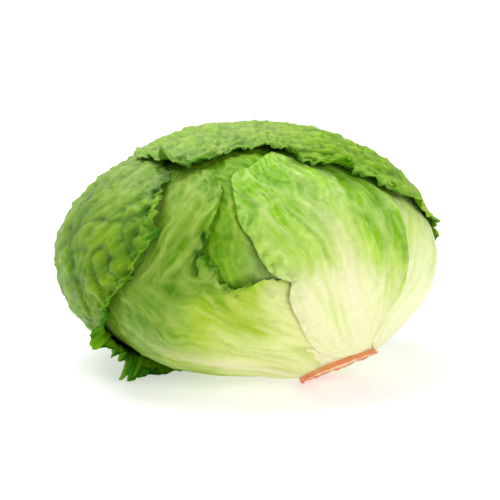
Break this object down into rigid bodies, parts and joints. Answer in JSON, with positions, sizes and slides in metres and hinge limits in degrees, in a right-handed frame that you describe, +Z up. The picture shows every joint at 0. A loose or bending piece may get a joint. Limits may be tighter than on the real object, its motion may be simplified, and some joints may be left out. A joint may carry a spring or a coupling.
{
  "type": "head of lettuce",
  "caption": "Crisphead lettuce lying on its side: overlapping pale-ribbed green leaves with frilled margins wrapped round a dense heart, with a short cut stem.",
  "frame": {"origin": "middle of the head's plan box, on the surface it lies on", "axes": "+Z up as the head lies; X along its long side with the cut stem toward +X; -Y toward the viewer of the picture, the side the cut stem faces"},
  "size_m": [0.1788, 0.1564, 0.1124],
  "materials": {
    "stem": "moist cut flesh",
    "heart": "smooth waxy leaf",
    "leaf_inner": "smooth waxy leaf",
    "leaf_back": "smooth waxy leaf",
    "leaf_right": "smooth waxy leaf",
    "leaf_left": "smooth waxy leaf",
    "leaf_far_left": "smooth waxy leaf",
    "leaf_front": "smooth waxy leaf",
    "leaf_cap": "smooth waxy leaf"
  },
  "bodies": {
    "root": {"stem": "stem", "heart": "heart", "leaf_inner": "leaf_inner", "leaf_back": "leaf_back", "leaf_right": "leaf_right", "leaf_left": "leaf_left", "leaf_far_left": "leaf_far_left", "leaf_front": "leaf_front", "leaf_cap": "leaf_cap"}
  },
  "joints": []
}
